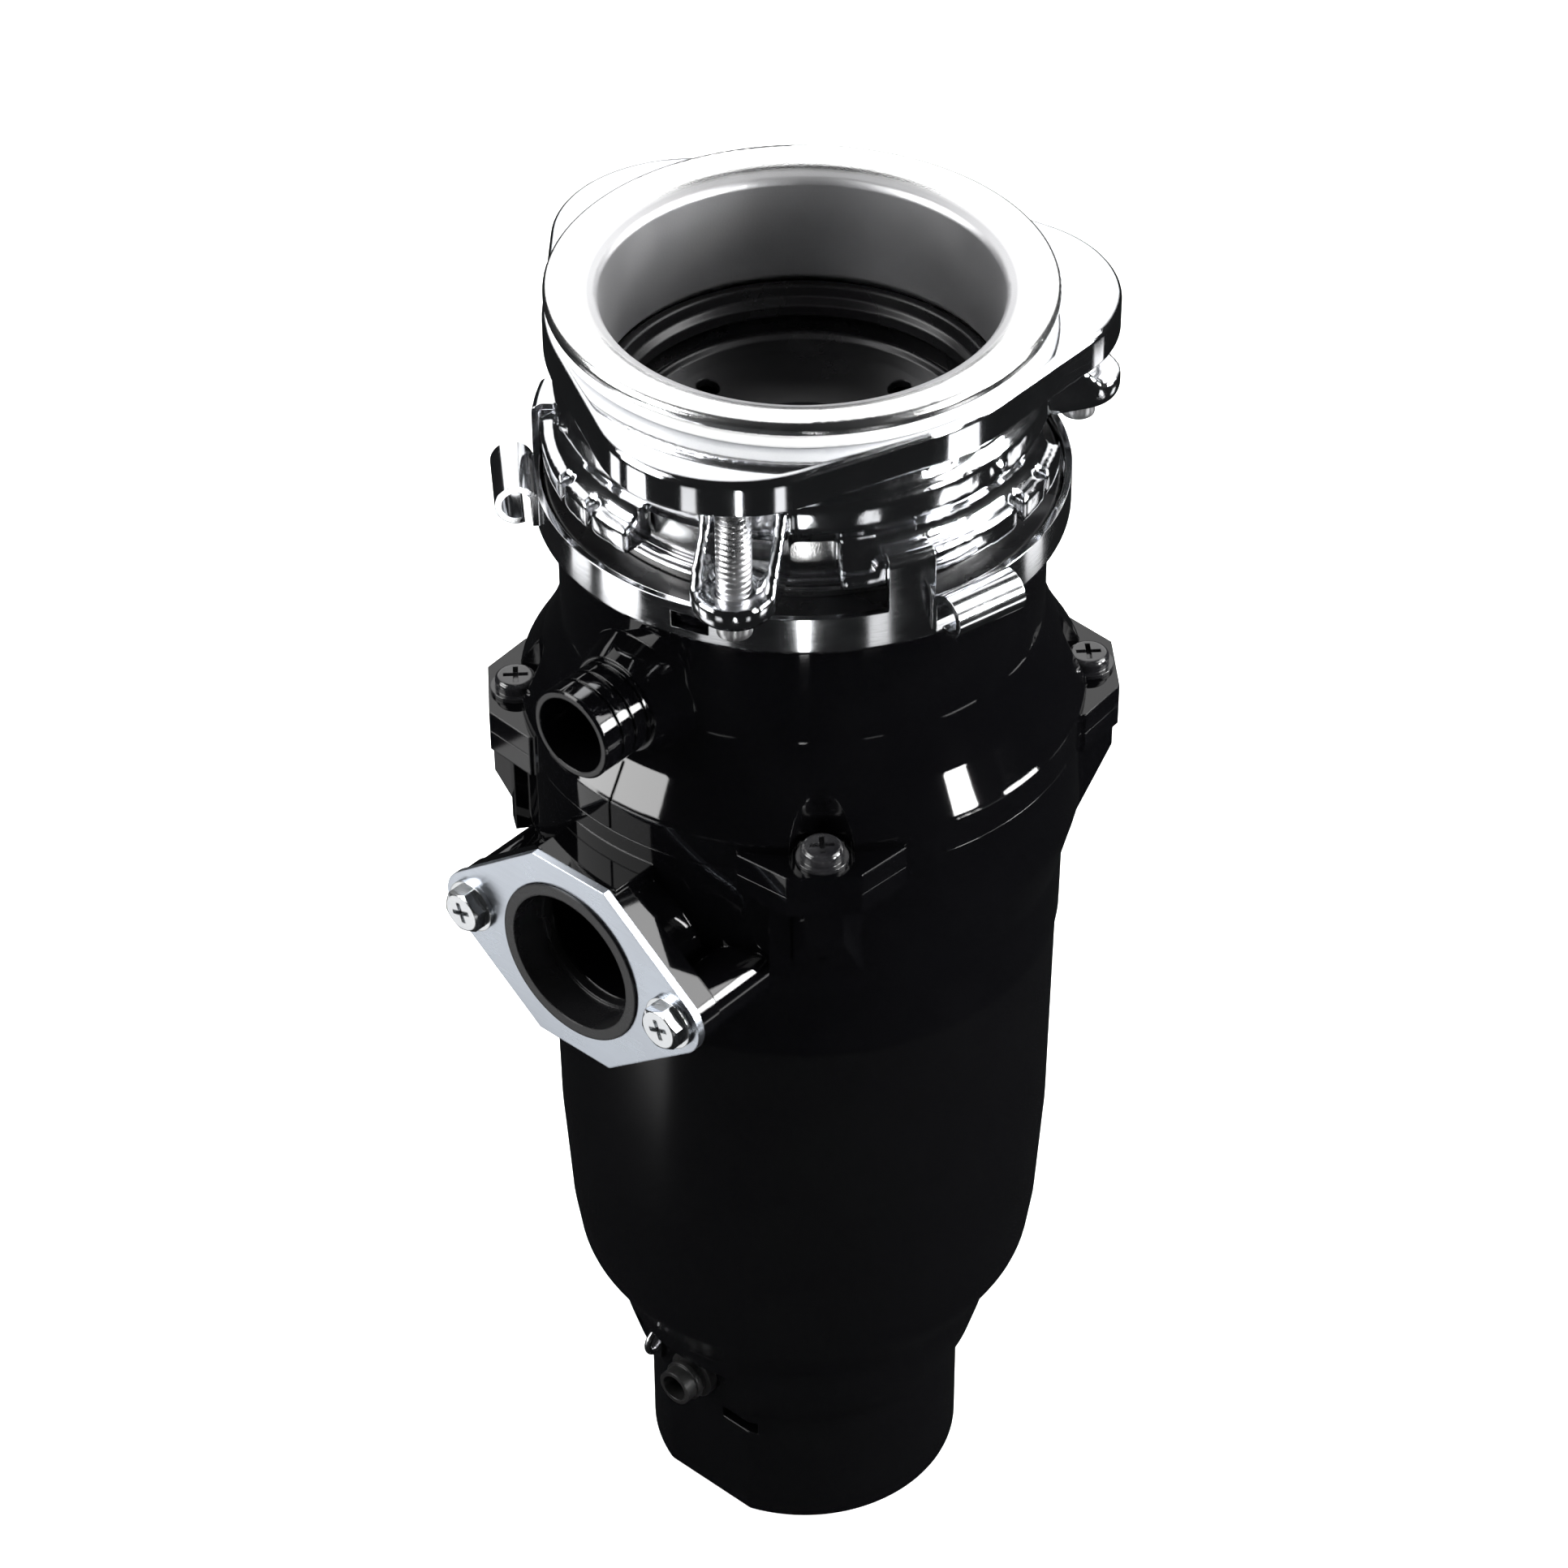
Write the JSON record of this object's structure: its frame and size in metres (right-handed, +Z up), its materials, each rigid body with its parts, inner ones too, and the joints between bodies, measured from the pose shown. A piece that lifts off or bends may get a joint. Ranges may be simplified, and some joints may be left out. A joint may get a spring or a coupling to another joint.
{
  "type": "garbage disposal",
  "caption": "Under-sink food waste disposal: sink flange with a bolted clamp mount, grinding chamber with side drain and dishwasher inlet, and a motor in a black shell.",
  "frame": {"origin": "centre of the round base, on its underside", "axes": "+Z up the motor axis to the sink flange, -Y the way the drain outlet and the dishwasher inlet point"},
  "size_m": [0.146, 0.1546, 0.3547],
  "materials": {
    "stainless": "polished rim, brushed tube",
    "white_rubber": "matt",
    "chrome_plate": "polished",
    "chrome_casting": "polished cast surface",
    "chrome_sheet": "polished sheet",
    "spring_steel": "bright",
    "black_rubber": "matt",
    "baffle_rubber": "satin",
    "gloss_black": "gloss",
    "black_screw": "black oxide",
    "zinc_plate": "bright zinc",
    "zinc_bolt": "bright zinc",
    "grind_steel": "brushed",
    "machined_steel": "turned",
    "bronze": "sintered",
    "aluminium": "cast",
    "can_steel": "zinc phosphate",
    "ferrite": "ground",
    "lamination": "stacked sheet",
    "copper": "enamelled",
    "phenolic": "matt",
    "carbon": "matt",
    "brass": "stamped",
    "felt": "felt",
    "satin_black": "satin gloss",
    "gland_black": "matt",
    "circuit": "lacquered board",
    "red_button": "gloss",
    "screw_steel": "bright, threaded"
  },
  "bodies": {
    "housing": {"sink_flange": "stainless", "sink_gasket": "white_rubber", "backup_flange": "chrome_plate", "mounting_ring": "chrome_casting", "snap_ring": "spring_steel", "mount_gasket": "black_rubber", "upper_housing": "gloss_black", "housing_seal": "black_rubber", "body_screws": "black_screw", "lower_housing": "gloss_black", "drain_gasket": "black_rubber", "drain_plate": "zinc_plate", "drain_bolts": "zinc_bolt", "grind_ring": "grind_steel", "shaft_seal": "black_rubber", "upper_bushing": "bronze", "lower_bushing": "bronze", "end_plate": "aluminium", "end_screws": "machined_steel", "motor_can": "can_steel", "magnets": "ferrite", "brush_card": "phenolic", "brushes": "carbon", "brush_holders": "brass", "brush_springs": "spring_steel", "sound_jacket": "felt", "motor_shell": "satin_black", "bottom_cap": "satin_black", "cap_screws": "black_screw", "cord_gland": "gland_black", "cord_clip": "spring_steel", "rectifier": "circuit", "protector": "phenolic", "reset_spring": "spring_steel"},
    "rotor": {"turntable": "grind_steel", "impeller_rivets": "machined_steel", "hub_nut": "machined_steel", "shaft": "machined_steel", "slinger": "black_rubber", "armature_core": "lamination", "windings": "copper", "commutator": "copper"},
    "impeller_1": {"impeller_1": "grind_steel"},
    "impeller_2": {"impeller_2": "grind_steel"},
    "lock_ring": {"lock_ring": "chrome_sheet"},
    "clamp_screw_1": {"clamp_screw_1": "screw_steel"},
    "clamp_screw_2": {"clamp_screw_2": "screw_steel"},
    "clamp_screw_3": {"clamp_screw_3": "screw_steel"},
    "baffle": {"splash_baffle": "baffle_rubber"},
    "reset_button": {"reset_button": "red_button"}
  },
  "joints": [
    {"name": "rotor_spin", "type": "hinge", "parent": "housing", "child": "rotor", "pos_m": [0, 0, 0.2], "axis": [0, 0, 1], "continuous": true},
    {"name": "impeller_1_swing", "type": "hinge", "parent": "rotor", "child": "impeller_1", "pos_m": [0.03, 0, 0.235], "axis": [0, 0, 1], "continuous": true},
    {"name": "impeller_2_swing", "type": "hinge", "parent": "rotor", "child": "impeller_2", "pos_m": [-0.03, 0, 0.235], "axis": [0, 0, 1], "continuous": true},
    {"name": "lock_ring_turn", "type": "hinge", "parent": "housing", "child": "lock_ring", "pos_m": [0, 0, 0.3], "axis": [0, 0, 1], "range_deg": [-21, 45]},
    {"name": "clamp_screw_1_travel", "type": "slide", "parent": "housing", "child": "clamp_screw_1", "axis": [0, 0, 1], "range_m": [-0.012, 0]},
    {"name": "clamp_screw_2_travel", "type": "slide", "parent": "housing", "child": "clamp_screw_2", "axis": [0, 0, 1], "range_m": [-0.012, 0]},
    {"name": "clamp_screw_3_travel", "type": "slide", "parent": "housing", "child": "clamp_screw_3", "axis": [0, 0, 1], "range_m": [-0.012, 0]},
    {"name": "baffle_lift", "type": "slide", "parent": "housing", "child": "baffle", "axis": [0, 0, 1], "range_m": [0, 0.08]},
    {"name": "reset_press", "type": "slide", "parent": "housing", "child": "reset_button", "axis": [0, 0, 1], "range_m": [0, 0.002], "stiffness_N_per_m": 300, "springref_m": -0.003, "deforming": ["reset_spring"]}
  ]
}
